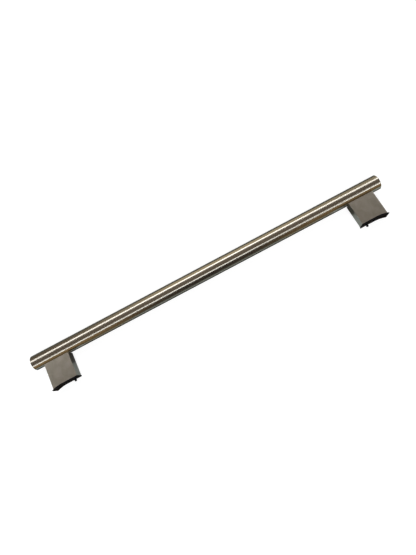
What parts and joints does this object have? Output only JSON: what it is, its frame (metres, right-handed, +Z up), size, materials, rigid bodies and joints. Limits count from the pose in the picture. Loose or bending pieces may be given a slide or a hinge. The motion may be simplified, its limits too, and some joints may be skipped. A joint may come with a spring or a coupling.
{
  "type": "oven door handle",
  "caption": "Round brushed steel bar on two flat metal posts with black spacers under their feet, bolted to an oven door from inside as its pull handle.",
  "frame": {"origin": "on the door's face, midway between the two fixing holes", "axes": "+X along the bar, +Y from the bar towards the door, +Z up on the closed door"},
  "size_m": [0.509, 0.0572, 0.02],
  "materials": {
    "bar": "brushed, fine lines round the bar",
    "end_cap": "turned and brushed",
    "post": "satin, warm grey",
    "spacer": "fine moulded grain",
    "screw": "zinc plated",
    "washer": "zinc plated spring steel",
    "nut_bar": "zinc plated",
    "insert": "turned"
  },
  "bodies": {
    "root": {"handle_tube": "bar", "right_end_cap": "end_cap", "left_end_cap": "end_cap", "right_post": "post", "left_post": "post", "right_spacer": "spacer", "left_spacer": "spacer", "right_nut_bar": "nut_bar", "left_nut_bar": "nut_bar", "right_threaded_insert": "insert", "left_threaded_insert": "insert", "right_clamp_screw_inner": "screw", "right_clamp_screw_outer": "screw", "left_clamp_screw_inner": "screw", "left_clamp_screw_outer": "screw", "right_lock_washer_inner": "washer", "right_lock_washer_outer": "washer", "left_lock_washer_inner": "washer", "left_lock_washer_outer": "washer"}
  },
  "joints": []
}
